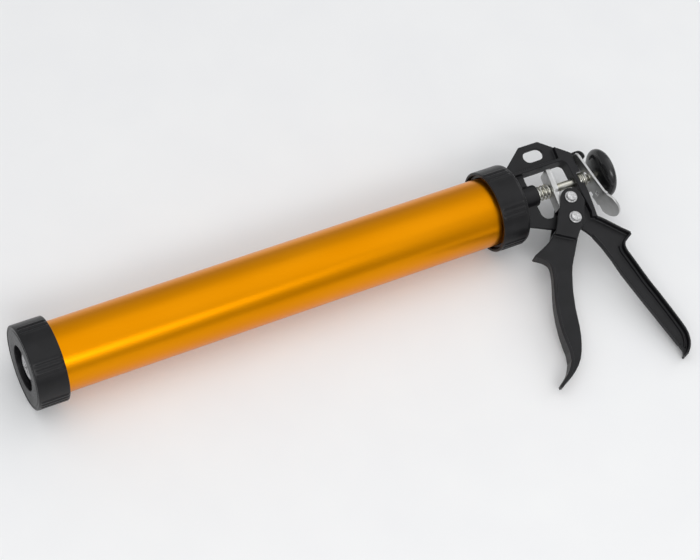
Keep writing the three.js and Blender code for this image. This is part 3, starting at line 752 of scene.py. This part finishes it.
def make_piston_screw():
    """A pan-head screw with a cross recess, facing the nozzle."""
    x0, x1 = span("piston_screw")
    head = [(x0 + 0.25, 0), (x0 + 0.2, 3), (x0 + 0.05, 6.2), (x0, 7.2)]
    head += filleted([(x0, 7.4), (x0 + 0.5, 9.2, 0.8), (x0 + SCREW_HEAD_T, SCREW_HEAD_R, 0.3),
                      (x0 + SCREW_HEAD_T, SCREW_R)])[1:]
    shank = line(x0 + SCREW_HEAD_T + 0.6, x1 - 0.5, SCREW_R, 90)
    grooves = thread(x0 + 4, x1 - 1, -SCREW_THREAD_DEPTH)
    bm = lathe([*head, *shank, (x1, SCREW_R - 0.5), (x1, 0)], 64, grooves)
    screw = piece("piston_screw_bolt", bm, "rod_body", "rivet", ["piston_screw"])
    cutters = bmesh.new()
    for turn in (RECESS_TURN, RECESS_TURN + math.pi / 2):
        size = Matrix.Diagonal((*RECESS_SIZE, 1))
        place = Matrix.Translation((x0, 0, 0)) @ Matrix.Rotation(turn, 4, "X") @ size
        bmesh.ops.create_cube(cutters, size=1, matrix=place)
    mesh = bpy.data.meshes.new("recess")
    cutters.to_mesh(mesh)
    cutters.free()
    mesh.transform(GUN)
    tool = bpy.data.objects.new("recess", mesh)
    bpy.context.scene.collection.objects.link(tool)
    cut = screw.modifiers.new("recess", "BOOLEAN")
    cut.object = tool
    cut.use_self = True
    bpy.context.view_layer.update()
    result = bpy.data.meshes.new_from_object(screw.evaluated_get(bpy.context.evaluated_depsgraph_get()))
    screw.modifiers.clear()
    screw.data = result
    bpy.data.objects.remove(tool)


# ---------------------------------------------------------------- camera, light and floor

def towards(azimuth, elevation):
    """The direction from the gun to something at that azimuth and elevation."""
    return Vector((math.sin(azimuth) * math.cos(elevation), -math.cos(azimuth) * math.cos(elevation),
                   math.sin(elevation)))


def make_camera():
    camera = bpy.data.objects.new("camera", bpy.data.cameras.new("camera"))
    camera.data.lens = LENS
    back = towards(AZIMUTH, ELEVATION)
    camera.location = AIM + back * DISTANCE
    camera.rotation_mode = "QUATERNION"
    level = (-back).to_track_quat("-Z", "Y")
    camera.rotation_quaternion = level @ Matrix.Rotation(ROLL, 3, "Z").to_quaternion()
    bpy.context.scene.collection.objects.link(camera)
    bpy.context.scene.camera = camera


def soft_box(name, azimuth, elevation, distance, width, height, power):
    light = bpy.data.lights.new(name, "AREA")
    light.shape = "RECTANGLE"
    light.size, light.size_y = width, height
    light.energy = power
    obj = bpy.data.objects.new(name, light)
    direction = towards(math.radians(azimuth), math.radians(elevation))
    obj.location = direction * distance
    obj.rotation_mode = "QUATERNION"
    obj.rotation_quaternion = (-direction).to_track_quat("-Z", "Y")
    bpy.context.scene.collection.objects.link(obj)


def make_studio():
    soft_box("key", -20, 44, distance=1.9, width=1.6, height=0.5, power=11)
    soft_box("top", 10, 88, distance=2.4, width=2.6, height=2.6, power=6.5)
    soft_box("side", 100, 35, distance=2.2, width=1.2, height=1.2, power=5)
    world = bpy.data.worlds.new("studio")
    world.use_nodes = True
    nodes, links = world.node_tree.nodes, world.node_tree.links
    height = nodes.new("ShaderNodeSeparateXYZ")
    links.new(nodes.new("ShaderNodeTexCoord").outputs["Generated"], height.inputs[0])
    fade = nodes.new("ShaderNodeMapRange")
    links.new(height.outputs["Z"], fade.inputs["Value"])
    fade.inputs["To Min"].default_value = HORIZON
    fade.inputs["To Max"].default_value = ZENITH
    nodes["Background"].inputs["Color"].default_value = SKY_TINT
    links.new(fade.outputs["Result"], nodes["Background"].inputs["Strength"])
    bpy.context.scene.world = world
    bpy.context.scene.view_settings.view_transform = "Standard"


def make_floor():
    bm = bmesh.new()
    bmesh.ops.create_grid(bm, x_segments=1, y_segments=1, size=FLOOR_HALF)
    mesh = bpy.data.meshes.new("floor")
    bm.to_mesh(mesh)
    bm.free()
    floor = bpy.data.objects.new("floor", mesh)
    floor.location.z = cad_box[0].z - FLOOR_DROP
    f = Finish("pale_floor")
    f.link("Base Color", f.mix(f.spread(f.noise(60), 0, 1), (0.88, 0.88, 0.885), (0.90, 0.90, 0.90)))
    f.link("Roughness", f.spread(f.noise(4), 0.7, 0.8))
    mesh.materials.append(f.material)
    bpy.context.scene.collection.objects.link(floor)


make_camera()
make_barrel()
make_front_cap()
make_rear_cap()
make_end_plate()
make_castings()
make_rivets()
make_drive_plate()
make_release_lever()
make_springs()
make_rod()
make_knob()
make_piston()
make_piston_screw()
make_studio()
make_floor()
